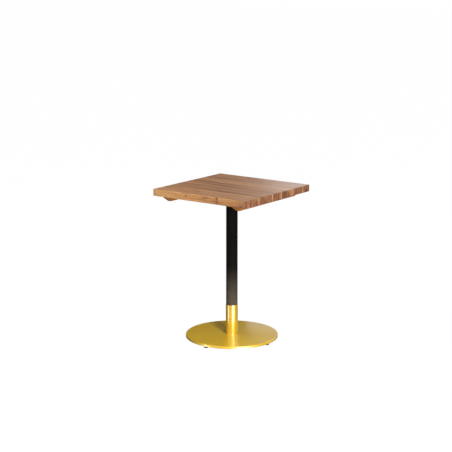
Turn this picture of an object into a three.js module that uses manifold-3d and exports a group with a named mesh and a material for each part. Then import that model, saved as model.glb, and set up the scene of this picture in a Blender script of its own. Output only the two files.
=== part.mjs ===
// A square bistro table. Its top is a panel of glued wooden staves on two battens, screwed to a cast
// spider. A tubular column with a brass-finished sleeve stands on a round disc base, one tie rod
// clamps spider, column and base together, and four levelling feet screw into the base plate.
// Millimetres, +Z up. The origin is on the floor, on the column's axis. The staves run along X.

import * as THREE from "three";
import { mergeVertices } from "three/addons/utils/BufferGeometryUtils.js";
import Module from "manifold-3d";

const wasm = await Module();
wasm.setup();

// Driving dimensions
const tableHeight = 750;
const topSide = 535;
const topThickness = 33;
const columnDiameter = 56;
const baseDiameter = 450;
const baseTop = 20.5; // upper face of the disc base
const sleeveTop = 168; // where the brass sleeve ends and the black column shows
const gap = 0.3; // clearance between pieces that slide or pass through each other

// Glued top: staves from the near edge, at -Y, to the far edge
const staveWidths = [111, 115.5, 72, 42, 53, 32.5, 54, 34.5, 20.5];
const undersideZ = tableHeight - topThickness;

// Battens under the top
const batten = { x: 200, width: 20, height: 24, halfLength: 264, nose: 2, chamferRun: 34 };
const battenBottomZ = undersideZ - batten.height;
const battenScrewPitch = 102;
const battenScrewsEachSide = 2;
const battenSlotTravel = 2; // how far a screw may creep each way as the top swells and shrinks
const counterboreDepth = 7;

// Pan-head wood screws
const screw = { headRadius: 4.5, headHeight: 3, shankRadius: 2.25, tip: 5 };
const battenScrewLength = 36;
const spiderScrewLength = 22;
const pilotSpare = 1; // a pilot hole goes this much deeper than the screw's tip

// Spider that carries the top
const hub = { radius: 34, height: 34, socketDepth: 14, webThickness: 6, nutRecessRadius: 17 };
const arm = { width: 30, thickness: 6, reach: 157, ribWidth: 7, ribReach: 118, ribRoot: 24, ribTip: 4 };
const armScrewRadii = [135, 160];
const armCount = 4;
const hubBottomZ = undersideZ - hub.height;
const webBottomZ = hubBottomZ + hub.socketDepth;
const webTopZ = webBottomZ + hub.webThickness;

// Column, sleeve and plug
const tubeWall = 1.5;
const sleeveWall = 0.8;
const sleeveLip = 0.5;
const plugHeight = 20;
const columnRadius = columnDiameter / 2;

// Tie rod with its nuts and washers
const rod = { radius: 6, bottomZ: 5.5, topSpare: 0.5 };
const rodHoleRadius = 6.5;
const washer = { radius: 14, thickness: 2.5 };
const nutAcrossFlats = 18;
const topNutHeight = 10;
const bottomNutHeight = 6;

// Base: a spun cover over a heavy plate
const cover = { sheet: 1, skirtBottom: 9.5, cornerRadius: 3, holeRadius: 7 };
const plate = { bottomZ: 10, counterboreZ: 15, counterboreRadius: 24 };
const plateTopZ = baseTop - cover.sheet;
const plateRadius = baseDiameter / 2 - cover.sheet - 2 * gap;

// Levelling feet
const foot = {
  ringRadius: 209,
  padRadius: 10,
  padHeight: 4.5,
  padRound: 1,
  socketRadius: 3.4,
  socketFloor: 1.7,
  pinRadius: 3,
  pinBottom: 2,
  hexFlats: 13,
  hexBottom: 4.8,
  hexTop: 9.6,
  studRadius: 4,
  studTop: 18.9,
};

// Sides of the polygons that stand for circles
const sides = { disc: 64, tube: 40, small: 20, screw: 10 };

// Materials
const material = (color, roughness, metalness) =>
  new THREE.MeshStandardMaterial({ color, roughness, metalness });
const staveWood = [0xa97f5a, 0xa67a55, 0xad835f, 0x9a6d49, 0xaa7c55, 0xb38a63, 0xa27651, 0xa57a56, 0x95694a];
const battenWood = material(0xb98550, 0.55, 0);
const brassFinish = material(0xd9a92e, 0.28, 1);
const blackCoat = material(0x161412, 0.7, 0.2);
const blackIron = material(0x1d1d1e, 0.75, 0.3);
const zincSteel = material(0xb4b6b8, 0.35, 1);
const blackRubber = material(0x121212, 0.9, 0);

// Geometry in and out of manifold-3d, which joins and cuts closed bodies
function toSolid(geometry) {
  const bare = new THREE.BufferGeometry();
  bare.setAttribute("position", geometry.getAttribute("position"));
  bare.setIndex(geometry.index);
  const merged = mergeVertices(bare, 1e-4);
  return new wasm.Manifold(
    new wasm.Mesh({
      numProp: 3,
      vertProperties: merged.attributes.position.array,
      triVerts: new Uint32Array(merged.index.array),
    }),
  );
}

function toGeometry(body) {
  const mesh = body.getMesh();
  const geometry = new THREE.BufferGeometry();
  geometry.setAttribute("position", new THREE.BufferAttribute(mesh.vertProperties, 3));
  geometry.setIndex(new THREE.BufferAttribute(mesh.triVerts, 1));
  return geometry;
}

function join(first, ...others) {
  return toGeometry(others.reduce((body, other) => body.add(toSolid(other)), toSolid(first)));
}

function cut(first, tools) {
  return toGeometry(tools.reduce((body, tool) => body.subtract(toSolid(tool)), toSolid(first)));
}

// A profile of [radius, z] pairs turned about Z
function turned(profile, segments) {
  const points = profile.map(([radius, z]) => new THREE.Vector2(radius, z));
  return new THREE.LatheGeometry(points, segments).rotateX(Math.PI / 2);
}

// A solid of revolution from z = bottom to z = top, or a ring when it has an inner radius
function cylinder(radius, bottom, top, segments) {
  return turned([[0, bottom], [radius, bottom], [radius, top], [0, top]], segments);
}

function ring(inner, outer, bottom, top, segments) {
  const wall = [[inner, bottom], [outer, bottom], [outer, top], [inner, top], [inner, bottom]];
  return turned(wall, segments);
}

// Points of a quarter round in a turned profile, from one angle to another
function corner(centreRadius, centreZ, radius, fromAngle, toAngle, steps) {
  return Array.from({ length: steps + 1 }, (_, i) => {
    const angle = fromAngle + ((toAngle - fromAngle) * i) / steps;
    return [centreRadius + radius * Math.cos(angle), centreZ + radius * Math.sin(angle)];
  });
}

function extruded(shape, depth) {
  return new THREE.ExtrudeGeometry(shape, { depth, bevelEnabled: false, curveSegments: 6 });
}

function outline(points) {
  return new THREE.Shape(points.map(([x, y]) => new THREE.Vector2(x, y)));
}

function regularHex(acrossFlats) {
  const radius = acrossFlats / Math.sqrt(3);
  const angles = Array.from({ length: 6 }, (_, i) => (i * Math.PI) / 3);
  return angles.map((angle) => [radius * Math.cos(angle), radius * Math.sin(angle)]);
}

function hexPrism(acrossFlats, bottom, top) {
  return extruded(outline(regularHex(acrossFlats)), top - bottom).translate(0, 0, bottom);
}

const table = new THREE.Group();

function place(group, name, geometry, surface, position = [0, 0, 0]) {
  const mesh = new THREE.Mesh(geometry, surface);
  mesh.name = name;
  mesh.position.set(...position);
  group.add(mesh);
}

// Where the screws stand, as [x, y]
function battenScrewPlaces(side) {
  const count = 2 * battenScrewsEachSide + 1;
  return Array.from({ length: count }, (_, i) => [
    side * batten.x,
    (i - battenScrewsEachSide) * battenScrewPitch,
  ]);
}

function spiderScrewPlaces() {
  const angles = Array.from({ length: armCount }, (_, i) => Math.PI / 4 + (i * Math.PI) / 2);
  return angles.flatMap((angle) =>
    armScrewRadii.map((radius) => [radius * Math.cos(angle), radius * Math.sin(angle)]),
  );
}

// Heights of the screws' bearing faces, where head meets batten or arm
const battenScrewSeatZ = battenBottomZ + counterboreDepth;
const spiderScrewSeatZ = undersideZ - arm.thickness;

function pilotHole([x, y], tipZ) {
  const radius = screw.shankRadius + gap;
  const start = undersideZ - 1;
  return cylinder(radius, start, tipZ + pilotSpare, sides.screw).translate(x, y, 0);
}

function pilotHoles() {
  const battenTip = battenScrewSeatZ + battenScrewLength;
  const spiderTip = spiderScrewSeatZ + spiderScrewLength;
  const underBattens = [-1, 1].flatMap((side) => battenScrewPlaces(side));
  return [
    ...underBattens.map((at) => ({ at, hole: pilotHole(at, battenTip) })),
    ...spiderScrewPlaces().map((at) => ({ at, hole: pilotHole(at, spiderTip) })),
  ];
}

// The staves, each a plain board with the pilot holes that fall in it
function addStaves(group) {
  const holes = pilotHoles();
  let nearY = -topSide / 2;
  staveWidths.forEach((width, i) => {
    const farY = nearY + width;
    const board = new THREE.BoxGeometry(topSide, width, topThickness);
    board.translate(0, nearY + width / 2, undersideZ + topThickness / 2);
    const inBoard = holes.filter(({ at }) => at[1] > nearY && at[1] < farY);
    const geometry = inBoard.length ? cut(board, inBoard.map(({ hole }) => hole)) : board;
    place(group, `top_stave_${i + 1}`, geometry, material(staveWood[i], 0.5, 0));
    nearY = farY;
  });
}

// A slot along Y for one batten screw; the middle one is round, so the batten keeps its place
function screwSlot(radius, travel, bottom, top) {
  const slot = new THREE.Shape();
  slot.absarc(0, travel, radius, 0, Math.PI, false);
  slot.absarc(0, -travel, radius, Math.PI, 2 * Math.PI, false);
  return extruded(slot, top - bottom).translate(0, 0, bottom);
}

function battenBody(side) {
  const { halfLength, nose, chamferRun, width } = batten;
  const flat = halfLength - chamferRun;
  const profile = outline([
    [-halfLength, undersideZ],
    [-halfLength, undersideZ - nose],
    [-flat, battenBottomZ],
    [flat, battenBottomZ],
    [halfLength, undersideZ - nose],
    [halfLength, undersideZ],
  ]);
  // the profile is drawn in X and Y, so it is stood up to lie in the Y-Z plane
  const blank = extruded(profile, width).rotateX(Math.PI / 2).rotateZ(Math.PI / 2);
  blank.translate(side * batten.x - width / 2, 0, 0);
  const tools = battenScrewPlaces(side).flatMap(([x, y], i) => {
    const travel = i === battenScrewsEachSide ? 0 : battenSlotTravel;
    const shank = screwSlot(screw.shankRadius + gap, travel, battenBottomZ - 1, undersideZ + 1);
    const head = screwSlot(screw.headRadius + gap, travel, battenBottomZ - 1, battenScrewSeatZ);
    return [shank.translate(x, y, 0), head.translate(x, y, 0)];
  });
  return cut(blank, tools);
}

// A pan-head screw whose bearing face is at z = 0 and whose tip points up
function screwBody(length) {
  const { headRadius, headHeight, shankRadius, tip } = screw;
  const crown = 0.8;
  return turned(
    [
      [0, -headHeight],
      [headRadius - crown, -headHeight],
      [headRadius, crown - headHeight],
      [headRadius, 0],
      [shankRadius, 0],
      [shankRadius, length - tip],
      [0, length],
    ],
    sides.screw,
  );
}

function addBattens(group) {
  for (const [label, side] of [["left", -1], ["right", 1]]) {
    place(group, `${label}_batten`, battenBody(side), battenWood);
    battenScrewPlaces(side).forEach(([x, y], i) => {
      const name = `${label}_batten_screw_${i + 1}`;
      place(group, name, screwBody(battenScrewLength), zincSteel, [x, y, battenScrewSeatZ]);
    });
  }
}

// One arm along +X: a flat flange with a round end, and a tapering rib below it
function spiderArm() {
  const { width, thickness, reach, ribWidth, ribReach, ribRoot, ribTip } = arm;
  const half = width / 2;
  const flange = new THREE.Shape();
  flange.moveTo(0, -half);
  flange.lineTo(reach, -half);
  flange.absarc(reach, 0, half, -Math.PI / 2, Math.PI / 2, false);
  flange.lineTo(0, half);
  flange.closePath();
  const plateBody = extruded(flange, thickness).translate(0, 0, undersideZ - thickness);
  const ribTopZ = undersideZ - thickness / 2;
  const ribBaseZ = undersideZ - thickness;
  const ribSide = outline([
    [0, ribTopZ],
    [0, ribBaseZ - ribRoot],
    [hub.radius, ribBaseZ - ribRoot],
    [ribReach, ribBaseZ - ribTip],
    [ribReach, ribTopZ],
  ]);
  const rib = extruded(ribSide, ribWidth).rotateX(Math.PI / 2).translate(0, ribWidth / 2, 0);
  return [plateBody, rib];
}

function spiderBody() {
  const blank = cylinder(hub.radius, hubBottomZ, undersideZ, sides.tube);
  const arms = Array.from({ length: armCount }, (_, i) =>
    spiderArm().map((piece) => piece.rotateZ(Math.PI / 4 + (i * Math.PI) / 2)),
  );
  const whole = join(blank, ...arms.flat());
  const socket = cylinder(columnRadius + gap, hubBottomZ - 1, webBottomZ, sides.tube);
  const nutRecess = cylinder(hub.nutRecessRadius, webTopZ, undersideZ + 1, sides.small);
  const rodHole = cylinder(rodHoleRadius, webBottomZ - 1, webTopZ + 1, sides.small);
  const screwHoles = spiderScrewPlaces().map(([x, y]) =>
    cylinder(screw.shankRadius + gap, spiderScrewSeatZ - 1, undersideZ + 1, sides.screw).translate(x, y, 0),
  );
  return cut(whole, [socket, nutRecess, rodHole, ...screwHoles]);
}

function addSpider(group) {
  place(group, "top_spider", spiderBody(), blackIron);
  spiderScrewPlaces().forEach(([x, y], i) => {
    const name = `spider_screw_${i + 1}`;
    place(group, name, screwBody(spiderScrewLength), zincSteel, [x, y, spiderScrewSeatZ]);
  });
}

// The sleeve has a small outer lip at its top, turned in towards the tube
function sleeveBody() {
  const inner = columnRadius + gap;
  const outer = inner + sleeveWall;
  return turned(
    [
      [inner, baseTop],
      [outer, baseTop],
      [outer, sleeveTop - sleeveLip],
      [outer - sleeveLip, sleeveTop],
      [inner, sleeveTop],
      [inner, baseTop],
    ],
    sides.tube,
  );
}

function addColumn(group) {
  const tubeInner = columnRadius - tubeWall;
  const tube = ring(tubeInner, columnRadius, baseTop, webBottomZ, sides.tube);
  const plug = ring(rodHoleRadius, tubeInner - gap, baseTop, baseTop + plugHeight, sides.tube);
  place(group, "column_tube", tube, blackCoat);
  place(group, "brass_sleeve", sleeveBody(), brassFinish);
  place(group, "centring_plug", plug, zincSteel);
}

function nutBody(height) {
  const hole = cylinder(rod.radius + gap, -1, height + 1, sides.small);
  return cut(hexPrism(nutAcrossFlats, 0, height), [hole]);
}

function addTieRod(group) {
  const shaft = cylinder(rod.radius, rod.bottomZ, undersideZ - rod.topSpare, sides.small);
  const washerBody = ring(rodHoleRadius, washer.radius, 0, washer.thickness, sides.small);
  const lowerWasherZ = plate.counterboreZ - washer.thickness;
  place(group, "tie_rod", shaft, zincSteel);
  place(group, "upper_washer", washerBody, zincSteel, [0, 0, webTopZ]);
  place(group, "upper_nut", nutBody(topNutHeight), zincSteel, [0, 0, webTopZ + washer.thickness]);
  place(group, "lower_washer", washerBody, zincSteel, [0, 0, lowerWasherZ]);
  place(group, "lower_nut", nutBody(bottomNutHeight), zincSteel, [0, 0, lowerWasherZ - bottomNutHeight]);
}

// The cover is one sheet: a flat top, a rounded outer corner and a straight skirt
function coverBody() {
  const { sheet, skirtBottom, cornerRadius, holeRadius } = cover;
  const outer = baseDiameter / 2;
  const centreRadius = outer - cornerRadius;
  const centreZ = baseTop - cornerRadius;
  const steps = 2;
  return turned(
    [
      [holeRadius, baseTop - sheet],
      ...corner(centreRadius, centreZ, cornerRadius - sheet, Math.PI / 2, 0, steps),
      [outer - sheet, skirtBottom],
      [outer, skirtBottom],
      ...corner(centreRadius, centreZ, cornerRadius, 0, Math.PI / 2, steps),
      [holeRadius, baseTop],
      [holeRadius, baseTop - sheet],
    ],
    sides.disc,
  );
}

// Where the feet stand, as [x, y], starting at +X and going counter-clockwise
const footPlaces = Array.from({ length: 4 }, (_, i) => [
  Math.round(Math.cos((i * Math.PI) / 2)) * foot.ringRadius,
  Math.round(Math.sin((i * Math.PI) / 2)) * foot.ringRadius,
]);

// A disc with a counterbore for the lower nut, and one tapped hole for each foot
function plateBody() {
  const bevel = 1.5;
  const blank = turned(
    [
      [rodHoleRadius, plate.counterboreZ],
      [plate.counterboreRadius, plate.counterboreZ],
      [plate.counterboreRadius, plate.bottomZ],
      [plateRadius - bevel, plate.bottomZ],
      [plateRadius, plate.bottomZ + bevel],
      [plateRadius, plateTopZ - 2 * bevel],
      [plateRadius - 2 * bevel, plateTopZ],
      [rodHoleRadius, plateTopZ],
      [rodHoleRadius, plate.counterboreZ],
    ],
    sides.disc,
  );
  const holes = footPlaces.map(([x, y]) =>
    cylinder(foot.studRadius + gap, plate.bottomZ - 1, plateTopZ + 1, sides.small).translate(x, y, 0),
  );
  return cut(blank, holes);
}

// A round pad with a socket in its top for the stud's pin
function padBody() {
  const { padRadius, padHeight, padRound, socketRadius, socketFloor } = foot;
  return turned(
    [
      [0, 0],
      [padRadius - padRound, 0],
      [padRadius, padRound],
      [padRadius, padHeight - padRound],
      [padRadius - padRound, padHeight],
      [socketRadius, padHeight],
      [socketRadius, socketFloor],
      [0, socketFloor],
    ],
    sides.small,
  );
}

// A stud with a hexagon to turn it by, and a plain pin below that swivels in the pad
function studBody() {
  const { pinRadius, pinBottom, hexFlats, hexBottom, hexTop, studRadius, studTop } = foot;
  const bite = 0.5; // how far pin and stud run into the hexagon they are joined to
  const pin = cylinder(pinRadius, pinBottom, hexBottom + bite, sides.small);
  const stud = cylinder(studRadius, hexTop - bite, studTop, sides.small);
  return join(hexPrism(hexFlats, hexBottom, hexTop), pin, stud);
}

function addBase(group) {
  place(group, "base_cover", coverBody(), brassFinish);
  place(group, "base_plate", plateBody(), blackIron);
  footPlaces.forEach(([x, y], i) => {
    const standing = new THREE.Group();
    standing.position.set(x, y, 0);
    place(standing, `foot_${i + 1}_pad`, padBody(), blackRubber);
    place(standing, `foot_${i + 1}_stud`, studBody(), brassFinish);
    group.add(standing);
  });
}

addStaves(table);
addBattens(table);
addSpider(table);
addColumn(table);
addTieRod(table);
addBase(table);

export default table;
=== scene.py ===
import math

import bmesh
import bpy
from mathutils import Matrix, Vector, noise


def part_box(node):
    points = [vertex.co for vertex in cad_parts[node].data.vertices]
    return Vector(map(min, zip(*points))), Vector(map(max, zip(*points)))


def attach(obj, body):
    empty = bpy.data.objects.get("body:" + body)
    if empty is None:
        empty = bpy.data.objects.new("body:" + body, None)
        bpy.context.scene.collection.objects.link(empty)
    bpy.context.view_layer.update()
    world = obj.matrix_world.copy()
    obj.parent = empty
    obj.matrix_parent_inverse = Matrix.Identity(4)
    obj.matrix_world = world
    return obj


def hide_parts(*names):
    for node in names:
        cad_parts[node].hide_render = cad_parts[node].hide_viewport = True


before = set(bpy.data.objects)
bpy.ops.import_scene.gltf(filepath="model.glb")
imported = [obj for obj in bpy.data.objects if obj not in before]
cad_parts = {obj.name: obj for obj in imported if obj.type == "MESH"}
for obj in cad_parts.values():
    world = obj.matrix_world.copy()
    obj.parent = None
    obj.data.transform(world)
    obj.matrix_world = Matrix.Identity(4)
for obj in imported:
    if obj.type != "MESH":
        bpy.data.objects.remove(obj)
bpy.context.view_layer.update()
mm = 0.001
print("frame loaded")

# Camera: a long lens a little above the top, looking at one corner of it
cameraSetup = {
    "azimuth": 36.0045,
    "distance": 6.21495,
    "height": 1.897,
    "pitchDown": 12.1623,
    "heading": 36.2665,
    "lens": 105.14,
    "sensor": 36.0,
}


def makeCamera(setup):
    data = bpy.data.cameras.new("camera")
    data.lens = setup["lens"]
    data.sensor_width = setup["sensor"]
    data.clip_end = 200
    camera = bpy.data.objects.new("camera", data)
    turn = math.radians(setup["azimuth"])
    away = setup["distance"]
    camera.location = (math.sin(turn) * away, -math.cos(turn) * away, setup["height"])
    camera.rotation_euler = (math.radians(90 - setup["pitchDown"]), 0, math.radians(setup["heading"]))
    bpy.context.scene.collection.objects.link(camera)
    bpy.context.scene.camera = camera


makeCamera(cameraSetup)
bpy.context.scene.view_settings.view_transform = "Standard"
bpy.context.scene.view_settings.look = "None"


# Shader maths as plain sums: a Wire is one output socket of a node
class Wire:
    def __init__(self, graph, socket):
        self.graph = graph
        self.socket = socket

    def other(self, name):  # another output of the same node
        return Wire(self.graph, self.socket.node.outputs[name])

    def __add__(self, value):
        return self.graph.maths("ADD", self, value)

    def __sub__(self, value):
        return self.graph.maths("SUBTRACT", self, value)

    def __rsub__(self, value):
        return self.graph.maths("SUBTRACT", value, self)

    def __mul__(self, value):
        return self.graph.maths("MULTIPLY", self, value)

    def __truediv__(self, value):
        return self.graph.maths("DIVIDE", self, value)

    def __abs__(self):
        return self.graph.maths("ABSOLUTE", self)

    __radd__ = __add__
    __rmul__ = __mul__


class Graph:
    def __init__(self, tree):
        self.tree = tree
        tree.nodes.clear()

    def add(self, kind, settings=None, values=None, out=0):
        node = self.tree.nodes.new(kind)
        for name, value in (settings or {}).items():
            if name == "stops":
                self.setStops(node.color_ramp, value)
            else:
                setattr(node, name, value)
        for name, value in (values or {}).items():
            self.feed(node.inputs[name], value)
        return Wire(self, node.outputs[out] if len(node.outputs) else None)

    def setStops(self, ramp, stops):
        while len(ramp.elements) < len(stops):
            ramp.elements.new(1.0)
        for element, (place, level) in zip(ramp.elements, stops):
            element.position = place
            element.color = (level, level, level, 1)

    def feed(self, socket, value):
        if isinstance(value, Wire):
            self.tree.links.new(value.socket, socket)
        elif socket.type == "RGBA":
            socket.default_value = (*value[:3], 1)
        else:
            socket.default_value = value

    def maths(self, operation, first, second=0.0, clamp=False):
        settings = {"operation": operation, "use_clamp": clamp}
        return self.add("ShaderNodeMath", settings, {0: first, 1: second})

    def clamp(self, value):
        return self.maths("ADD", value, 0.0, clamp=True)

    def smooth(self, value, low, high):  # 0 at low, 1 at high, an S curve between them
        settings = {"interpolation_type": "SMOOTHSTEP"}
        return self.add("ShaderNodeMapRange", settings, {0: value, 1: low, 2: high})

    def mix(self, first, second, share, blend="MIX"):
        settings = {"data_type": "RGBA", "blend_type": blend}
        return self.add("ShaderNodeMix", settings, {0: share, 6: first, 7: second}, out=2)

    def stretch(self, point, scale, shift=(0, 0, 0)):
        return self.add("ShaderNodeVectorMath", {"operation": "MULTIPLY_ADD"}, {0: point, 1: scale, 2: shift})

    def cloud(self, point, scale=1.0, detail=2.0, rough=0.5):
        values = {"Vector": point, "Scale": scale, "Detail": detail, "Roughness": rough}
        return self.add("ShaderNodeTexNoise", None, values)

    def place(self):
        return self.add("ShaderNodeTexCoord", out="Object")

    def finish(self, values, height=None, depth=0.0):
        if height is not None:
            values["Normal"] = self.add("ShaderNodeBump", None, {"Distance": depth, "Height": height})
        shader = self.add("ShaderNodeBsdfPrincipled", None, values)
        self.add("ShaderNodeOutputMaterial", None, {"Surface": shader})


def newMaterial(name):
    material = bpy.data.materials.new(name)
    material.use_nodes = True
    return material, Graph(material.node_tree)


def paint(code):  # a colour code such as "c8a070" as linear red, green and blue
    shares = [int(code[i:i + 2], 16) / 255 for i in (0, 2, 4)]
    return tuple(s / 12.92 if s <= 0.04045 else ((s + 0.055) / 1.055) ** 2.4 for s in shares)


# Wood: rings round a pith that lies along the grain, so that faces, edges and ends all agree
woodTones = {
    "early": paint("9f7652"),
    "late": paint("6c3e28"),
    "streak": paint("502a1c"),
    "sap": paint("c79b66"),
    "pore": paint("4a2c1a"),
    "knot": paint("5a2c18"),
    "glue": paint("4a3020"),
}


def knotFields(graph, x, z, knots):
    # each knot pushes the rings aside and darkens its own middle
    push, dark = 0.0, 0.0
    for knot in knots:
        across = (x - knot["x"]) / knot["wide"]
        along = (z - knot["z"]) / knot["tall"]
        away = graph.maths("SQRT", across * across + along * along)
        near = graph.smooth(away, 2.6, 0.0)
        push = near * knot["push"] + push
        dark = graph.smooth(away, 1.35, 0.25) * knot["dark"] + dark
    return push, dark


def makeWood(name, look):
    # look: pith (across, up), ringGap, seed, grain ("x" or "y"), tone, and the marks of that board
    material, graph = newMaterial(name)
    point = graph.place()
    if look["grain"] == "y":
        quarter = {"Vector": point, "Angle": math.pi / 2}
        point = graph.add("ShaderNodeVectorRotate", {"rotation_type": "Z_AXIS"}, quarter)
    apart = graph.add("ShaderNodeSeparateXYZ", None, {0: point})
    x, y, z = apart, apart.other("Y"), apart.other("Z")
    seed = look["seed"]
    shift = (seed * 1.37, seed * 2.11, seed * 0.77)
    pithAcross, pithUp = look["pith"]

    wander = graph.cloud(graph.stretch(point, (1.7, 3.0, 3.0), shift), detail=2)
    drift = graph.cloud(graph.stretch(point, (2.3, 4.0, 4.0), (shift[1], shift[0], 5)), detail=2)
    ripple = graph.cloud(graph.stretch(point, (7, 85, 85), shift), detail=3)
    across = y - pithAcross + (wander - 0.5) * 0.06
    up = z - pithUp + (drift - 0.5) * 0.045
    radius = graph.maths("SQRT", across * across + up * up) + (ripple - 0.5) * 0.0035
    push, knotDark = knotFields(graph, x, z, look.get("knots", []))
    turns = (radius + push) / look["ringGap"]
    phase = graph.maths("FRACT", turns)
    stops = [(0.0, 0.15), (0.3, 0.05), (0.72, 0.55), (0.9, 1.0), (1.0, 0.15)]
    late = graph.add("ShaderNodeValToRGB", {"stops": stops}, {0: phase})
    year = graph.maths("FLOOR", turns)
    yearly = graph.add("ShaderNodeTexWhiteNoise", {"noise_dimensions": "1D"}, {"W": year + seed})
    rings = late * (0.25 + 0.75 * yearly)

    fibres = graph.cloud(graph.stretch(point, (11, 620, 620), shift), detail=4, rough=0.6)
    pores = graph.smooth(graph.cloud(graph.stretch(point, (38, 1500, 1500), shift), detail=1), 0.6, 0.72)
    boardShift = (shift[2], shift[0], shift[1])
    boards = graph.cloud(graph.stretch(point, (1.3, 105, 16), boardShift), detail=2, rough=0.55)
    stripeShift = (shift[0], shift[2], shift[1])
    stripes = graph.cloud(graph.stretch(point, (3.4, 150, 46), stripeShift), detail=3, rough=0.6)
    flecks = graph.smooth(graph.cloud(graph.stretch(point, (11, 95, 75), shift), detail=3), 0.58, 0.7)

    early, dark = [tuple(c * look["tone"] for c in woodTones[key]) for key in ("early", "late")]
    share = rings * look.get("contrast", 0.6) + (fibres - 0.5) * 0.9 + (stripes - 0.5) * 1.6 + 0.1
    share = graph.clamp(share)
    colour = graph.mix(early, dark, share)
    streaks = graph.smooth(boards, 0.49, 0.66) * look.get("streak", 0.8)
    colour = graph.mix(colour, woodTones["streak"], streaks)
    colour = graph.mix(colour, woodTones["sap"], graph.smooth(boards, 0.46, 0.24) * 0.4)
    colour = graph.mix(colour, woodTones["streak"], flecks * look.get("fleck", 0.45))
    colour = graph.mix(colour, woodTones["pore"], pores * look.get("pores", 0.4))
    if "wash" in look:
        colour = graph.mix(colour, look["wash"], 1.0, "MULTIPLY")
    roughness = 0.4 + 0.16 * rings + 0.12 * fibres
    if "ends" in look:  # the cut ends drink more oil, so they are darker, redder and duller
        low, high = look["ends"]
        middle, half = (low + high) / 2, (high - low) / 2
        cutEnd = graph.smooth(abs(x - middle), half - 1.6 * mm, half - 0.6 * mm)
        cells = graph.cloud(graph.stretch(point, (200, 230, 70), shift), detail=3, rough=0.6)
        endDark = graph.clamp(graph.smooth(boards, 0.42, 0.6) * 0.9 + (cells - 0.5) * 1.3)
        ended = graph.mix(colour, look["endTone"], 1.0, "MULTIPLY")
        ended = graph.mix(ended, look["endDark"], endDark * 0.75)
        for sapLow, sapHigh in look.get("sap", []):  # sapwood shows as a pale upright strip
            edge = y + (ripple - 0.5) * 0.006
            pale = graph.smooth(edge, sapLow - 0.8 * mm, sapLow + 0.8 * mm)
            pale = pale * graph.smooth(edge, sapHigh, sapHigh - 0.4 * mm)
            ended = graph.mix(ended, woodTones["sap"], pale * (0.75 - 0.4 * fibres))
        colour = graph.mix(colour, ended, cutEnd)
        roughness = roughness + 0.12 * cutEnd
    if "edge" in look:  # the planed side of an outer board, oiled a warmer colour than the top
        planed = graph.smooth(abs(y - look["edge"]), 0.55 * mm, 0.1 * mm)
        warmed = graph.mix(colour, look["edgeTone"], 1.0, "MULTIPLY")
        colour = graph.mix(colour, warmed, planed)
        # partly painted light: the side is painted paler towards its left end, for paler wood there and for
        # the near left lamp's light falling off along the side
        paleAndLitRun = graph.smooth(x + (stripes - 0.5) * 0.2, look["paleFrom"], look["paleTo"])
        colour = graph.mix(colour, look["paleTone"], planed * paleAndLitRun * (0.75 - 0.5 * stripes))
    if look.get("knots"):
        shallow = graph.smooth(abs(y - look["edge"]), 7 * mm, 1.5 * mm)
        knotShare = graph.clamp(knotDark * (0.75 + 0.5 * stripes)) * shallow
        colour = graph.mix(colour, woodTones["knot"], knotShare)
    if "seams" in look:
        low, high = look["seams"]
        inside = graph.maths("MINIMUM", y - low, high - y)
        glue = graph.smooth(inside, 0.35 * mm, 0.05 * mm)
        colour = graph.mix(colour, woodTones["glue"], glue * 0.4)
    height = 0.6 * fibres + 0.25 * rings - 0.8 * pores
    values = {"Base Color": colour, "Roughness": roughness, "Specular IOR Level": look.get("gloss", 0.4)}
    graph.finish(values, height, 0.12 * mm)
    return material


# Metals, coat and rubber
def makeGold(name, look):
    # sprayed and lacquered gold metal: even, satin, with a faint cloudiness
    material, graph = newMaterial(name)
    point = graph.place()
    grain = graph.cloud(graph.stretch(point, look["stretch"]), detail=3, rough=0.65)
    clouds = graph.cloud(point, 9.0, detail=3)
    share = graph.clamp(0.5 + (clouds - 0.5) * 1.2 + (grain - 0.5) * 0.5)
    colour = graph.mix(look["deep"], look["light"], share)
    roughness = look["rough"] + (grain - 0.5) * 0.14 + (clouds - 0.5) * 0.08
    values = {"Base Color": colour, "Metallic": look["metal"], "Roughness": roughness}
    values.update({"Coat Weight": look["coat"], "Coat Roughness": look["coatRough"], "Coat IOR": 1.8})
    graph.finish(values, grain, look["depth"])
    return material


def makeCoat(name, look):
    # black powder coat with a pebbled skin, with painted light towards the foot: the lower part is painted
    # lighter and browner where lamp light and the gold base's bounce reach below the top's shadow
    material, graph = newMaterial(name)
    point = graph.place()
    z = graph.add("ShaderNodeSeparateXYZ", None, {0: point}).other("Z")
    cells = graph.add("ShaderNodeTexVoronoi", {"feature": "SMOOTH_F1"},
                      {"Vector": point, "Scale": look["pebbles"], "Smoothness": 0.6})
    grit = graph.cloud(point, 900.0, detail=3, rough=0.6)
    blotch = graph.cloud(point, 260.0, detail=3, rough=0.6)
    pebble = graph.clamp(1.15 - cells * 1.5)
    # painted light: the coat is painted lighter from here down to the foot, standing in for the light that
    # reaches the lower column
    dustAndPaintedLight = graph.smooth(z, look["paintedLightTop"], look["paintedLightFoot"])
    speck = graph.smooth(pebble * 0.6 + blotch * 0.8 + grit * 0.3, 0.62, 1.12)
    share = graph.clamp(speck * 0.02 + dustAndPaintedLight * (0.42 + 0.58 * speck))
    colour = graph.mix(look["black"], look["wornAndLitTone"], share)
    roughness = 0.56 + 0.2 * grit
    height = pebble * 0.8 + grit * 0.25 + blotch * 0.5
    values = {"Base Color": colour, "Roughness": roughness, "Specular IOR Level": 0.02}
    graph.finish(values, height, 0.35 * mm)
    return material


def makeIron(name):
    # black primer over the sandy skin of a casting
    material, graph = newMaterial(name)
    point = graph.place()
    sand = graph.cloud(point, 650.0, detail=4, rough=0.65)
    lumps = graph.cloud(point, 70.0, detail=2)
    colour = graph.mix(paint("141414"), paint("2e2c2a"), graph.smooth(sand * 0.6 + lumps * 0.5, 0.4, 0.75))
    graph.finish({"Base Color": colour, "Roughness": 0.5 + 0.25 * sand}, sand + lumps * 0.8, 0.35 * mm)
    return material


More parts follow.
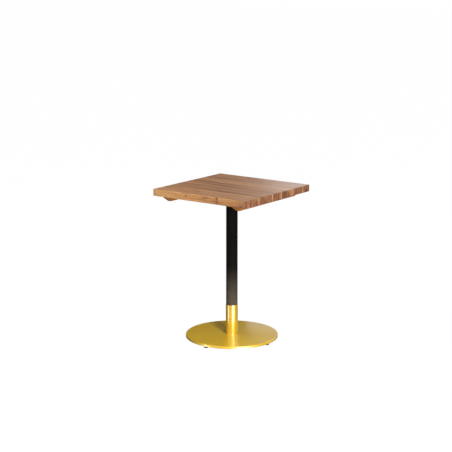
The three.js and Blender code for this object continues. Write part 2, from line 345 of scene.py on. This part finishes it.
def makeZinc(name):
    # bright zinc plate, slightly clouded
    material, graph = newMaterial(name)
    point = graph.place()
    clouds = graph.cloud(point, 140.0, detail=4, rough=0.6)
    fine = graph.cloud(point, 1400.0, detail=2)
    height = fine * 0.2
    colour = graph.mix(paint("a9adb2"), paint("d4d3cb"), clouds)
    roughness = 0.26 + 0.2 * clouds
    graph.finish({"Base Color": colour, "Metallic": 1.0, "Roughness": roughness}, height, 0.25 * mm)
    return material


def makeRubber(name):
    material, graph = newMaterial(name)
    point = graph.place()
    skin = graph.cloud(point, 1100.0, detail=3)
    dustAndPaintedLight = graph.cloud(point, 120.0, detail=4, rough=0.7)
    colour = graph.mix(paint("0f0f10"), paint("2b2a29"), graph.smooth(dustAndPaintedLight, 0.45, 0.75))
    graph.finish({"Base Color": colour, "Roughness": 0.62 + 0.25 * skin}, skin, 0.1 * mm)
    return material


# Mesh making: rings of points turned about an axis, or sections strung along a line
def roundCorners(corners, steps=5):
    # corners: (across, up, radius) round a closed outline; radius 0 keeps a corner sharp
    points = []
    for i, (u, v, radius) in enumerate(corners):
        here = Vector((u, v))
        if radius == 0:
            points.append((u, v))
            continue
        before = (Vector(corners[i - 1][:2]) - here).normalized()
        after = (Vector(corners[(i + 1) % len(corners)][:2]) - here).normalized()
        half = before.angle(after) / 2
        middle = here + (before + after).normalized() * (radius / math.sin(half))
        start = here + before * (radius / math.tan(half)) - middle
        end = here + after * (radius / math.tan(half)) - middle
        turn = start.angle_signed(end)
        for step in range(steps + 1):
            angle = -turn * step / steps
            swung = (start.x * math.cos(angle) - start.y * math.sin(angle),
                     start.x * math.sin(angle) + start.y * math.cos(angle))
            points.append((middle.x + swung[0], middle.y + swung[1]))
    return points


def ringMesh(mesh, rings, segments, closed=False, centre=(0, 0)):
    # rings: (radius, z), where the radius is a number or a function of the angle; radius 0 is a pole
    rows = []
    for radius, z in rings:
        if radius == 0:
            rows.append([mesh.verts.new((*centre, z))])
            continue
        row = []
        for i in range(segments):
            angle = 2 * math.pi * i / segments
            reach = radius(angle) if callable(radius) else radius
            u, v = reach * math.cos(angle), reach * math.sin(angle)
            row.append(mesh.verts.new((centre[0] + u, centre[1] + v, z)))
        rows.append(row)
    pairs = list(zip(rows, rows[1:])) + ([(rows[-1], rows[0])] if closed else [])
    for low, high in pairs:
        for i in range(segments):
            j = (i + 1) % segments
            if len(low) == 1:
                mesh.faces.new((low[0], high[i], high[j]))
            elif len(high) == 1:
                mesh.faces.new((low[i], low[j], high[0]))
            else:
                mesh.faces.new((low[i], low[j], high[j], high[i]))


def loftMesh(mesh, sections):
    # sections: closed lists of points, all as long as each other, joined in order and capped
    rows = [[mesh.verts.new(p) for p in section] for section in sections]
    for low, high in zip(rows, rows[1:]):
        for i in range(len(low)):
            j = (i + 1) % len(low)
            mesh.faces.new((low[i], low[j], high[j], high[i]))
    mesh.faces.new(rows[0])
    mesh.faces.new(rows[-1])


def turned(u, v, z, turn, centre=(0, 0)):
    # a point swung about Z and moved
    return (centre[0] + u * math.cos(turn) - v * math.sin(turn),
            centre[1] + u * math.sin(turn) + v * math.cos(turn), z)


def slabMesh(mesh, outline, low, high, turn=0.0, centre=(0, 0)):
    loftMesh(mesh, [[turned(u, v, z, turn, centre) for u, v in outline] for z in (low, high)])


def shade(data, angle):
    # faces with many corners are flat caps
    data.polygons.foreach_set("use_smooth", [len(face.vertices) < 9 for face in data.polygons])
    data.set_sharp_from_angle(angle=math.radians(angle))
    return data


def toData(mesh, name, smoothAngle=35):
    bmesh.ops.recalc_face_normals(mesh, faces=mesh.faces)
    data = bpy.data.meshes.new(name)
    mesh.to_mesh(data)
    mesh.free()
    return shade(data, smoothAngle)


def toPiece(name, data, material, body, nodes, at=(0, 0, 0)):
    piece = bpy.data.objects.new(name, data)
    piece.location = at
    bpy.context.scene.collection.objects.link(piece)
    if not data.materials:
        data.materials.append(material)
    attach(piece, body)
    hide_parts(*nodes)


def bake(data, kind, **settings):
    # the mesh after one modifier, as a new mesh
    holder = bpy.data.objects.new("holder", data)
    bpy.context.scene.collection.objects.link(holder)
    change = holder.modifiers.new("change", kind)
    for name, value in settings.items():
        setattr(change, name, value)
    graph = bpy.context.evaluated_depsgraph_get()
    graph.update()
    made = bpy.data.meshes.new_from_object(holder.evaluated_get(graph))
    bpy.data.objects.remove(holder)
    return made


def carve(data, cutter):
    tool = bpy.data.objects.new("cutter", cutter)
    bpy.context.scene.collection.objects.link(tool)
    made = bake(data, "BOOLEAN", operation="DIFFERENCE", solver="EXACT", object=tool)
    bpy.data.objects.remove(tool)
    return made


# The top: nine staves, planed together after gluing, so only the outer edges are eased
topLook = {
    "arris": 0.9 * mm,
    "hold": 0.3 * mm,
    "station": 7 * mm,
    "strip": 9 * mm,
    "steps": 4,
}
staveLooks = [
    {"pith": (-0.215, 0.665), "ringGap": 5.2 * mm, "seed": 1, "tone": 1.02, "contrast": 0.7, "fleck": 0.65,
     "sap": [(-0.1622, -0.1565)],
     "knots": [
         {"x": 0.107, "z": 0.748, "wide": 8 * mm, "tall": 10 * mm, "push": 0.004, "dark": 0.8},
         {"x": 0.1085, "z": 0.728, "wide": 7 * mm, "tall": 26 * mm, "push": 0.003, "dark": 0.55},
         {"x": -0.071, "z": 0.738, "wide": 7 * mm, "tall": 8 * mm, "push": 0.004, "dark": 0.7},
         # this and the next are dark spots at the foot of the front side, near the ends of the two battens
         {"x": 0.2415, "z": 0.7225, "wide": 12 * mm, "tall": 4.5 * mm, "push": 0.008, "dark": 0.95},
         {"x": -0.19, "z": 0.7195, "wide": 4 * mm, "tall": 3 * mm, "push": 0.002, "dark": 0.8},
         {"x": 0.028, "z": 0.7185, "wide": 5 * mm, "tall": 2.5 * mm, "push": 0.002, "dark": 0.6},
     ]},
    {"pith": (0.11, 0.69), "ringGap": 4.4 * mm, "seed": 2, "tone": 0.98, "sap": [(-0.0485, -0.0411)]},
    {"pith": (-0.26, 0.76), "ringGap": 3.7 * mm, "seed": 3, "tone": 1.04, "sap": [(0.0255, 0.0309)]},
    {"pith": (0.21, 0.71), "ringGap": 4.8 * mm, "seed": 4, "tone": 0.95, "endShade": 0.55},
    {"pith": (-0.1, 0.74), "ringGap": 3.4 * mm, "seed": 5, "tone": 1.0, "sap": [(0.1205, 0.1257)],
     "endShade": 1.1},
    {"pith": (0.31, 0.7), "ringGap": 4.0 * mm, "seed": 6, "tone": 0.93, "endShade": 0.95},
    {"pith": (-0.02, 0.77), "ringGap": 3.9 * mm, "seed": 7, "tone": 0.98, "sap": [(0.2055, 0.2127)],
     "endShade": 0.85},
    {"pith": (0.4, 0.72), "ringGap": 3.6 * mm, "seed": 8, "tone": 1.02},
    {"pith": (0.08, 0.71), "ringGap": 4.5 * mm, "seed": 9, "tone": 0.95, "endShade": 0.8},
]
# colours of the cut ends and the outer sides
cutTones = {
    "endTone": (0.8, 0.73, 0.66),
    "endDark": paint("5e3120"),
    "edgeTone": (0.98, 0.9, 0.58),
    # the pale tone, laid along the outer side towards its left end, is partly painted light
    "paleTone": paint("a68253"),
    "paleFrom": -0.02,
    "paleTo": -0.30,
}


def waver(u, v, seed):  # 0 to 1, smooth along an edge
    point = Vector((u / (38 * mm), v / (38 * mm), seed * 3.7))
    return min(1.0, max(0.0, 0.5 + 0.75 * noise.noise(point) + 0.35 * noise.noise(point * 3.1)))


def staveOutline(y0, y1, z0, z1, near, far, look):
    # the section's points with the way each is pulled in along the outer edges
    rim = look["arris"]
    hold = rim * 1.5 + look["hold"]  # a point beside each rounding, so that the flats shade flat
    strips = max(1, round((y1 - y0) / look["strip"]))
    edgeY = ([y0 + hold] if near else []) + ([y1 - hold] if far else [])
    inner = sorted([y0 + (y1 - y0) * k / strips for k in range(1, strips)] + edgeY)
    points = []

    def side(fixedY, inward, outer, fromZ, toZ):
        # one upright side; an outer one gets a quarter round at each corner
        if not outer:
            points.extend([(fixedY, fromZ, 0, 0), (fixedY, toZ, 0, 0)])
            return
        arcs = []
        for corner in (fromZ, toZ):
            up = 1 if corner == z0 else -1
            angles = [math.pi / 2 * k / look["steps"] for k in range(look["steps"] + 1)]
            arc = [(fixedY, corner, inward * (1 - math.sin(t)) * rim, up * (1 - math.cos(t)) * rim)
                   for t in angles]
            arcs.append(arc + [(fixedY, corner + up * hold, 0, 0)])
        points.extend(arcs[0] + arcs[1][::-1])

    side(y0, 1, near, z1, z0)
    points.extend((y, z0, 0, 0) for y in inner)
    side(y1, -1, far, z0, z1)
    points.extend((y, z1, 0, 0) for y in reversed(inner))
    return points


def makeStave(index, look, options):
    node = f"top_stave_{index}"
    low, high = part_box(node)
    near, far = index == 1, index == len(staveLooks)
    outline = staveOutline(low.y, high.y, low.z, high.z, near, far, options)
    rim = options["arris"]
    length = high.x - low.x
    count = round((length - 2 * rim) / options["station"])
    # at the very end the section is pulled in most, and it is full once the quarter round is passed
    angles = [math.pi / 2 * k / options["steps"] for k in range(options["steps"] + 1)]
    ends = [(low.x + rim * (1 - math.cos(t)), 1 - math.sin(t)) for t in angles]
    ends.append((low.x + rim + options["hold"], 0.0))
    middle = [(low.x + rim + (length - 2 * rim) * k / count, 0.0) for k in range(1, count)]
    stations = ends + middle + [(low.x + high.x - x, pull) for x, pull in reversed(ends)]
    sections = []
    for x, pull in stations:
        section = []
        for y, z, inY, inZ in outline:
            top = z > (low.z + high.z) / 2
            up = -1 if top else 1
            size = 0.55 + 0.9 * waver(x, y, 1 if top else 2)
            pullY = inY * size
            pullZ = inZ * size
            endPull = pull * rim * (0.6 + 0.8 * waver(y, x, 3 if top else 4))
            if near and y == low.y:
                pullY = max(pullY, endPull)
            if far and y == high.y:
                pullY = min(pullY, -endPull)
            pullZ = up * max(abs(pullZ), endPull)
            section.append((x, y + pullY, z + pullZ))
        sections.append(section)
    mesh = bmesh.new()
    loftMesh(mesh, sections)
    wood = {**cutTones, **look, "grain": "x", "seams": (low.y, high.y), "ends": (low.x, high.x)}
    endShade = look.get("endShade", 1.0)
    wood["endTone"] = tuple(c * endShade for c in cutTones["endTone"])
    if near:
        wood.update(seams=(low.y - 1, high.y), edge=low.y)
    if far:
        wood.update(seams=(low.y, high.y + 1), edge=high.y)
    material = makeWood(f"staveWood{index}", wood)
    data = toData(mesh, f"topStave{index}", 50)
    toPiece(f"topStave{index}", data, material, "table", [node])


for index, look in enumerate(staveLooks, 1):
    makeStave(index, look, topLook)
print("top made")

# Battens: eased lower edges, long chamfers at the ends, slots for the screws
battenLook = {
    "ease": 1.2 * mm,
    "noseDrop": 2 * mm,
    "chamferRun": 34 * mm,
    "slotHead": 4.9 * mm,
    "slotTravel": 2 * mm,
    "slotDepth": 7 * mm,
    "grain": "y",
    "tone": 1.1,
    "ringGap": 3.2 * mm,
    "contrast": 0.3,
    "streak": 0.15,
    "fleck": 0.0,
    "pores": 0.0,
    "gloss": 0.05,
    "endTone": (1.0, 0.82, 0.62),
    "wash": (1.0, 0.8, 0.5),
    "left": {"seed": 21, "pith": (-0.25, 0.66)},
    "right": {"seed": 27, "pith": (0.3, 0.66)},
}


def slotOutline(radius, travel, steps=14):
    right = [(radius * math.cos(a), travel + radius * math.sin(a))
             for a in (math.pi * k / steps for k in range(steps + 1))]
    return right + [(-u, -v) for u, v in right]


def makeBatten(side, look):
    node = f"{side}_batten"
    low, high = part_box(node)
    mesh = bmesh.new()
    sections = []
    # the sections stand close along a chamfer and evenly between the two
    closeBy = [stop * mm for stop in (0, 0.4, 1.2, 5, 12, 20, 28, 33, 34, 36)]
    straight = high.y - low.y - 2 * closeBy[-1]
    count = 30
    ys = [low.y + stop for stop in closeBy]
    ys += [low.y + closeBy[-1] + straight * k / count for k in range(1, count)]
    ys += [high.y - stop for stop in reversed(closeBy)]
    for y in ys:
        inset = min(y - low.y, high.y - y)
        share = min(1.0, inset / look["chamferRun"])
        bottom = high.z - look["noseDrop"] - (high.z - low.z - look["noseDrop"]) * share
        bottom = max(bottom, low.z)
        ease = min(look["ease"], (high.z - bottom) * 0.45)
        wave = 0.2 * mm * waver(y, low.x, 7)
        nip = max(0.0, 0.6 * mm - inset)
        left, right, base, hold = low.x + nip, high.x - nip, bottom + wave, ease * 1.25
        outline = [(left, high.z, 0), (right, high.z, 0),
                   (right, base + hold, 0), (right, base, ease), (right - hold, base, 0),
                   (left + hold, base, 0), (left, base, ease), (left, base + hold, 0)]
        sections.append([(u, y, v) for u, v in roundCorners(outline, 4)])
    loftMesh(mesh, sections)
    body = toData(mesh, f"{side}BattenBlank", 30)
    for i in range(1, 6):
        screwLow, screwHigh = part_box(f"{side}_batten_screw_{i}")
        centre = ((screwLow.x + screwHigh.x) / 2, (screwLow.y + screwHigh.y) / 2)
        travel = 0 if i == 3 else look["slotTravel"]
        outline = slotOutline(look["slotHead"], travel)
        tool = bmesh.new()
        slabMesh(tool, outline, low.z - 2 * mm, low.z + look["slotDepth"], centre=centre)
        body = carve(body, toData(tool, "slotTool"))
    body = shade(body, 30)
    marks = look[side]
    wood = {**cutTones, **look, "seed": marks["seed"], "pith": marks["pith"], "ends": (-high.y, -low.y)}
    material = makeWood(f"{side}BattenWood", wood)
    toPiece(f"{side}Batten", body, material, "table", [node])


for side in ("left", "right"):
    makeBatten(side, battenLook)
print("battens made")

gold = makeGold("goldCover", {
    "deep": (0.68, 0.42, 0.012), "light": (0.79, 0.5, 0.02), "metal": 0.3, "rough": 0.44,
    "coat": 1.0, "coatRough": 0.18, "stretch": (420, 420, 420), "depth": 0.03 * mm,
})
goldSleeve = makeGold("goldSleeve", {
    "deep": (0.58, 0.365, 0.014), "light": (0.66, 0.42, 0.024), "metal": 0.4, "rough": 0.42,
    "coat": 1.0, "coatRough": 0.16, "stretch": (380, 380, 60), "depth": 0.02 * mm,
})
# the brownish tone and the height span below are painted light on the lower column, not dust
coat = makeCoat("blackCoat", {
    "black": (0.0042, 0.0036, 0.0031), "wornAndLitTone": (0.115, 0.094, 0.067), "pebbles": 330.0,
    "paintedLightTop": 0.38, "paintedLightFoot": 0.14,
})
iron = makeIron("castIron")
zinc = makeZinc("zincSteel")
rubber = makeRubber("footRubber")


# Column and its sleeve
def pipe(name, node, wall, corners, material, segments):
    # a tube as high as its CAD node, with eased rims
    low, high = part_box(node)
    outer = (high.x - low.x) / 2
    inner = outer - wall
    outline = [(inner, low.z, corners[0]), (outer, low.z, corners[1]),
               (outer, high.z, corners[2]), (inner, high.z, corners[3])]
    mesh = bmesh.new()
    ringMesh(mesh, roundCorners(outline, 4), segments, closed=True,
             centre=((low.x + high.x) / 2, (low.y + high.y) / 2))
    toPiece(name, toData(mesh, name, 50), material, "table", [node])


pipe("columnTube", "column_tube", 1.5 * mm, [0.2 * mm] * 4, coat, 128)
sleeveRims = [0, 0.15 * mm, 0.55 * mm, 0.15 * mm]
pipe("brassSleeve", "brass_sleeve", 0.8 * mm, sleeveRims, goldSleeve, 160)
print("column made")

# Base cover: flat, with a soft shoulder and a rolled lower rim
coverLook = {"sheet": 1 * mm, "shoulder": 2.6 * mm, "rim": 0.45 * mm, "hole": 7 * mm}


def makeCover(look):
    low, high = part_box("base_cover")
    outer = high.x
    sheet = look["sheet"]
    outline = [
        (look["hole"], high.z - sheet, 0),
        (outer - sheet, high.z - sheet, look["shoulder"] - sheet),
        (outer - sheet, low.z, look["rim"]),
        (outer, low.z, look["rim"]),
        (outer, high.z, look["shoulder"]),
        (look["hole"], high.z, 0),
    ]
    mesh = bmesh.new()
    ringMesh(mesh, roundCorners(outline, 8), 288, closed=True)
    toPiece("baseCover", toData(mesh, "baseCover", 40), gold, "table", ["base_cover"])


makeCover(coverLook)


# Base plate: a thick disc with a turned recess for the nut
plateLook = {
    "bore": 6.5 * mm, "recess": 24 * mm, "recessDeep": 5 * mm, "footBore": 4.3 * mm, "footMouth": 5.3 * mm,
}


def makePlate(look):
    low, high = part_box("base_plate")
    outer = high.x
    outline = [
        (look["bore"], low.z + look["recessDeep"], 0.2 * mm),
        (look["recess"], low.z + look["recessDeep"], 0.6 * mm),
        (look["recess"], low.z, 0.4 * mm),
        (outer, low.z, 1.5 * mm),
        (outer, high.z, 2.6 * mm),
        (look["bore"], high.z, 0.2 * mm),
    ]
    mesh = bmesh.new()
    ringMesh(mesh, roundCorners(outline, 5), 192, closed=True)
    body = toData(mesh, "basePlateBlank", 40)
    mouth, bore = look["footMouth"], look["footBore"]
    hole = [(0, low.z - mm), (mouth, low.z - mm), (mouth, low.z + 0.2 * mm), (bore, low.z + 1.1 * mm),
            (bore, high.z + mm), (0, high.z + mm)]
    tool = bmesh.new()
    for i in range(1, 5):
        footLow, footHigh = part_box(f"foot_{i}_stud")
        centre = ((footLow.x + footHigh.x) / 2, (footLow.y + footHigh.y) / 2)
        ringMesh(tool, hole, 32, centre=centre)
    body = shade(carve(body, toData(tool, "footHoles")), 40)
    toPiece("basePlate", body, iron, "table", ["base_plate"])


makePlate(plateLook)
print("base made")


# Threads, hexagons and screws
def hexagon(acrossFlats, limit):
    # the outline of a hexagon with a corner on +X, kept within a circle of the limit's radius
    def reach(angle):
        turn = (angle % (math.pi / 3)) - math.pi / 6
        return min(acrossFlats / 2 / math.cos(turn), limit)
    return reach


def hexRings(acrossFlats, low, high, steps=4):
    # a hexagon whose corners are turned off at both ends at 30 degrees
    flat, corner = acrossFlats / 2 * 0.97, acrossFlats / math.sqrt(3)
    rise = (corner - flat) * math.tan(math.radians(30))
    shares = [k / steps for k in range(steps + 1)]
    lower = [(hexagon(acrossFlats, flat + (corner - flat) * share), low + rise * share) for share in shares]
    upper = [(reach, low + high - z) for reach, z in reversed(lower)]
    return lower + upper


def threadRings(radius, pitch, low, high, rows=6):
    # a helical V groove, fading out at both ends
    depth = 0.55 * pitch
    count = max(2, round((high - low) / pitch * rows))
    rings = []
    for k in range(count + 1):
        z = low + (high - low) * k / count
        fade = min(1.0, (z - low) / pitch, (high - z) / pitch)

        def reach(angle, z=z, fade=fade):
            phase = (z / pitch - angle / (2 * math.pi)) % 1.0
            groove = abs(2 * phase - 1)
            return radius - depth * groove * fade - 0.3 * pitch * (1 - fade)
        rings.append((reach, z))
    return rings


footLook = {
    "tread": 1.7 * mm, "socket": 3.4 * mm,
    "flats": 13 * mm, "hexHigh": 4.8 * mm, "hexLift": 2.8 * mm,
    "pin": 3 * mm, "stud": 4 * mm, "pitch": 1.25 * mm,
}


def makeFoot(i, look):
    padLow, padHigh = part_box(f"foot_{i}_pad")
    centre = ((padLow.x + padHigh.x) / 2, (padLow.y + padHigh.y) / 2)
    outer = (padHigh.x - padLow.x) / 2
    top = padHigh.z
    tread, socket = look["tread"], look["socket"]
    # the pad is widest just above its tread, then steps in, and the stud's pin stands in its socket
    outline = [(0, 0, 0), (outer - 0.6 * mm, 0, 0.5 * mm), (outer, 1.1 * mm, 0.4 * mm),
               (outer, 1.9 * mm, 0.3 * mm), (outer - 0.7 * mm, 2.3 * mm, 0.3 * mm),
               (outer - 0.9 * mm, top, 0.8 * mm), (socket, top, 0.2 * mm), (socket, tread, 0), (0, tread, 0)]
    mesh = bmesh.new()
    ringMesh(mesh, roundCorners(outline, 4), 48, centre=centre)
    data = toData(mesh, f"footPad{i}", 45)
    toPiece(f"footPad{i}", data, rubber, f"foot_{i}_slider", [f"foot_{i}_pad"])

    low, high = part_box(f"foot_{i}_stud")
    hexLow = low.z + look["hexLift"]
    hexHigh = hexLow + look["hexHigh"]
    pin = look["pin"]
    rings = [(0, low.z), (pin - 0.4 * mm, low.z), (pin, low.z + 0.4 * mm), (pin, hexLow)]
    rings += hexRings(look["flats"], hexLow, hexHigh)
    rings += threadRings(look["stud"], look["pitch"], hexHigh, high.z)
    rings.append((0, high.z))
    mesh = bmesh.new()
    ringMesh(mesh, rings, 48, centre=centre)
    data = toData(mesh, f"footStud{i}", 30)
    toPiece(f"footStud{i}", data, goldSleeve, f"foot_{i}_screw", [f"foot_{i}_stud"])


for i in range(1, 5):
    makeFoot(i, footLook)


screwLook = {
    "head": 4.5 * mm, "headHigh": 3 * mm, "shank": 2.25 * mm, "pitch": 2.2 * mm, "point": 5 * mm,
    "armWide": 0.55 * mm, "armLong": 2.3 * mm, "crossDeep": 1.7 * mm,
}


def crossArm(look, turn):
    # one arm of the cross in a screw head, getting shorter inwards
    wide, long, top = look["armWide"], look["armLong"], -look["headHigh"]
    sections = []
    for share, z in ((1.0, top - 0.2 * mm), (1.0, top), (0.5, top + look["crossDeep"])):
        corners = [(-long, -wide), (long, -wide), (long, wide), (-long, wide)]
        sections.append([turned(share * u, v, z, turn) for u, v in corners])
    tool = bmesh.new()
    loftMesh(tool, sections)
    return toData(tool, "crossArm")


def screwData(name, length, look):
    # the bearing face of the head is at z = 0 and the point is up
    head, tall, shank = look["head"], look["headHigh"], look["shank"]
    crown = [(0, -tall)]
    crown += [(head * math.sin(a), -tall + (tall - 0.6 * mm) * (1 - math.cos(a)))
              for a in (math.pi / 2 * k / 8 for k in range(1, 9))]
    crown += [(head, 0), (shank, 0)]
    rings = crown + threadRings(shank, look["pitch"], 1 * mm, length - look["point"])
    rings.append((0, length))
    mesh = bmesh.new()
    ringMesh(mesh, rings, 36)
    body = toData(mesh, name, 35)
    for turn in (0, math.pi / 2):
        # cut one at a time, because a cutter that crosses itself leaves nothing of the screw
        body = carve(body, crossArm(look, turn))
    body.name = name
    body.materials.clear()
    body.materials.append(zinc)
    return shade(body, 35)


battenScrew = screwData("battenScrew", 36 * mm, screwLook)
spiderScrew = screwData("spiderScrew", 22 * mm, screwLook)


def placeScrew(name, node, data):
    low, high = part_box(node)
    at = ((low.x + high.x) / 2, (low.y + high.y) / 2, low.z + screwLook["headHigh"])
    toPiece(name, data, zinc, "table", [node], at)


for side in ("left", "right"):
    for i in range(1, 6):
        placeScrew(f"{side}BattenScrew{i}", f"{side}_batten_screw_{i}", battenScrew)
for i in range(1, 9):
    placeScrew(f"spiderScrew{i}", f"spider_screw_{i}", spiderScrew)


rodLook = {"pitch": 1.75 * mm, "threaded": 48 * mm, "nutFlats": 18 * mm, "nutBore": 6.25 * mm}


def makeNut(name, node, look):
    low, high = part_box(node)
    bore = look["nutBore"]
    mouth = bore + 0.75 * mm
    inner = [(mouth, high.z), (bore, high.z - 0.9 * mm), (bore, low.z + 0.9 * mm), (mouth, low.z)]
    mesh = bmesh.new()
    ringMesh(mesh, hexRings(look["nutFlats"], low.z, high.z) + inner, 72, closed=True)
    toPiece(name, toData(mesh, name, 30), zinc, "table", [node])


def makeRod(look):
    # threaded at both ends only
    low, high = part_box("tie_rod")
    radius = (high.x - low.x) / 2
    pitch, threaded = look["pitch"], look["threaded"]
    rings = [(0, low.z)] + threadRings(radius, pitch, low.z, low.z + threaded)
    rings += threadRings(radius, pitch, high.z - threaded, high.z) + [(0, high.z)]
    mesh = bmesh.new()
    ringMesh(mesh, rings, 32)
    toPiece("tieRod", toData(mesh, "tieRod", 30), zinc, "table", ["tie_rod"])


makeNut("upperNut", "upper_nut", rodLook)
makeNut("lowerNut", "lower_nut", rodLook)
makeRod(rodLook)
for name, node in (("upperWasher", "upper_washer"), ("lowerWasher", "lower_washer")):
    pipe(name, node, 7.5 * mm, [0.3 * mm] * 4, zinc, 64)
pipe("centringPlug", "centring_plug", 19.7 * mm, [0.6 * mm] * 4, zinc, 96)
print("fasteners made")

# Spider: a casting, so its parts run into each other with fillets
spiderLook = {
    "arm": 30 * mm, "flange": 6 * mm, "reach": 157 * mm, "rib": 7 * mm, "ribReach": 118 * mm,
    "ribRoot": 24 * mm, "ribTip": 4 * mm, "voxel": 1.15 * mm, "relax": 5,
}


def makeSpider(look):
    low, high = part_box("top_spider")
    top, bottom = high.z, low.z
    # the tube stands in the hub's lower cup, and the nut sits in its upper one
    cup, wall, well, bore = 28.5 * mm, 34 * mm, 17 * mm, 6.5 * mm
    floorLow, floorHigh = bottom + 14 * mm, bottom + 20 * mm
    hub = [(cup, bottom), (wall - 0.6 * mm, bottom), (wall, bottom + 0.8 * mm), (wall, top), (well, top),
           (well, floorHigh), (bore, floorHigh), (bore, floorLow), (cup, floorLow)]
    mesh = bmesh.new()
    ringMesh(mesh, hub, 96, closed=True)
    half = look["arm"] / 2
    tip = [(look["reach"] + half * math.sin(a), -half * math.cos(a))
           for a in (math.pi * k / 16 for k in range(17))]
    arm = [(20 * mm, -half)] + tip + [(20 * mm, half)]
    ribTop, ribLow = top - look["flange"] / 2, top - look["flange"]
    root = ribLow - look["ribRoot"]
    rib = [(30 * mm, ribTop), (30 * mm, root), (34 * mm, root),
           (look["ribReach"], ribLow - look["ribTip"]), (look["ribReach"], ribTop)]
    for k in range(4):
        turn = math.pi / 4 + k * math.pi / 2
        slabMesh(mesh, arm, top - look["flange"], top, turn)
        halfRib = look["rib"] / 2
        loftMesh(mesh, [[turned(u, v, z, turn) for u, z in rib] for v in (-halfRib, halfRib)])
    body = toData(mesh, "spiderBlank")
    body = bake(body, "REMESH", mode="VOXEL", voxel_size=look["voxel"])
    body = bake(body, "SMOOTH", factor=0.5, iterations=look["relax"])
    body.materials.clear()
    toPiece("topSpider", shade(body, 60), iron, "table", ["top_spider"])


makeSpider(spiderLook)
print("spider made")

# Floor, world and lights
studio = {
    "floorSize": 60,
    "floorColour": (0.35, 0.35, 0.35),
    "floorGlow": 0.985,
    "floorShade": (0.03, 0.03, 0.03),
    "ambient": 0.04,
}
# soft panels all round the set: azimuth, half width, lowest, highest, softness (degrees) and brightness
panels = {
    "rightPanel": (66, 24, -60, 6, 12, 1.2),
    "rightCore": (62, 13, -34, 4, 7, 7.5),
    "rightRise": (62, 6, 0, 22, 6, 12.0),
    "leftCore": (-30, 3, -34, 4, 5, 8.0),
    "frontFill": (20, 60, -60, 30, 12, 0.34),
    "backFill": (215, 70, 45, 70, 12, 0.3),
}
# lamps: place and point looked at in metres, size in metres, spread in degrees, power in watts
lamps = {
    "keyLight": {"at": (2.79, -1.81, 3.45), "aim": (0, 0, 0.4), "size": (0.72, 0.72),
                 "spread": 180, "power": 168},
    "lowKey": {"at": (1.12, -0.68, 0.73), "aim": (0, 0, 0.5), "size": (0.5, 0.04),
               "spread": 180, "power": 3.6},
    "nearLeft": {"at": (-0.5, -0.46, 1.54), "aim": (-0.1, -0.1, 0.75), "size": (0.22, 0.22),
                 "spread": 180, "power": 4.6},
    "leftBox": {"at": (-0.1, -1.3, 1.05), "aim": (0.05, 0, 0.76), "size": (0.5, 0.5),
                "spread": 80, "power": 1.35},
    "topSheen": {"at": (-0.01, 1.54, 1.08), "aim": (0.12, 0.05, 0.98), "size": (1.5, 0.55),
                 "spread": 76, "power": 5.4},
    "discSheen": {"at": (0.0, 1.11, 0.17), "aim": (0.06, 0.05, 0.02), "size": (1.3, 0.34),
                  "spread": 180, "power": 0.8},
    "discHaze": {"at": (0.02, 1.12, 0.48), "aim": (0.06, 0.05, 0.02), "size": (1.3, 0.26),
                 "spread": 180, "power": 0.16},
}


def makeWorld(setup, panels):
    world = bpy.data.worlds.new("studioWorld")
    world.use_nodes = True
    bpy.context.scene.world = world
    graph = Graph(world.node_tree)
    point = graph.add("ShaderNodeTexCoord", out="Generated")
    apart = graph.add("ShaderNodeSeparateXYZ", None, {0: point})
    x, y, z = apart, apart.other("Y"), apart.other("Z")
    elevation = graph.maths("ARCSINE", z)
    level = setup["ambient"]
    for azimuth, half, low, high, soft, bright in panels.values():
        middle, half, low, high, soft = [math.radians(value) for value in (azimuth, half, low, high, soft)]
        # how far round from the panel's middle
        ahead = x * math.sin(middle) - y * math.cos(middle)
        aside = x * math.cos(middle) + y * math.sin(middle)
        off = abs(graph.maths("ARCTAN2", aside, ahead))
        window = graph.smooth(off, half + soft, half) * graph.smooth(elevation, high + soft, high)
        window = window * graph.smooth(elevation, low - soft, low)
        level = window * bright + level
    lit = graph.add("ShaderNodeBackground", None, {"Color": (1, 1, 1), "Strength": level})
    seen = graph.add("ShaderNodeBackground", None, {"Color": (1, 1, 1), "Strength": 1.0})
    isCamera = graph.add("ShaderNodeLightPath", out="Is Camera Ray")
    both = graph.add("ShaderNodeMixShader", None, {0: isCamera, 1: lit, 2: seen})
    graph.add("ShaderNodeOutputWorld", None, {"Surface": both})


def makeLamp(name, setup):
    data = bpy.data.lights.new(name, "AREA")
    data.shape = "RECTANGLE"
    data.size, data.size_y = setup["size"]
    data.energy = setup["power"]
    data.spread = math.radians(setup["spread"])
    lamp = bpy.data.objects.new(name, data)
    lamp.location = setup["at"]
    back = Vector(setup["at"]) - Vector(setup["aim"])
    lamp.rotation_euler = back.to_track_quat("Z", "Y").to_euler()
    lamp.visible_camera = False
    bpy.context.scene.collection.objects.link(lamp)


def makeFloor(setup):
    mesh = bmesh.new()
    half = setup["floorSize"] / 2
    corners = [mesh.verts.new((u * half, v * half, 0)) for u, v in ((-1, -1), (1, -1), (1, 1), (-1, 1))]
    mesh.faces.new(corners)
    data = bpy.data.meshes.new("floor")
    mesh.to_mesh(data)
    mesh.free()
    material, graph = newMaterial("paleFloor")
    # the camera sees a white floor, and everything else sees a plain grey one
    dull = {"Roughness": 0.9, "Specular IOR Level": 0.0}
    glow = {"Emission Color": (1, 1, 1), "Emission Strength": setup["floorGlow"]}
    lit = graph.add("ShaderNodeBsdfPrincipled", None, {"Base Color": setup["floorColour"], **dull})
    seen = graph.add("ShaderNodeBsdfPrincipled", None, {"Base Color": setup["floorShade"], **dull, **glow})
    isCamera = graph.add("ShaderNodeLightPath", out="Is Camera Ray")
    both = graph.add("ShaderNodeMixShader", None, {0: isCamera, 1: lit, 2: seen})
    graph.add("ShaderNodeOutputMaterial", None, {"Surface": both})
    data.materials.append(material)
    floor = bpy.data.objects.new("floor", data)
    floor.visible_glossy = False  # gloss shows the panels, which reach below the floor's edge
    bpy.context.scene.collection.objects.link(floor)


makeWorld(studio, panels)
for name, setup in lamps.items():
    makeLamp(name, setup)
makeFloor(studio)

print("done")
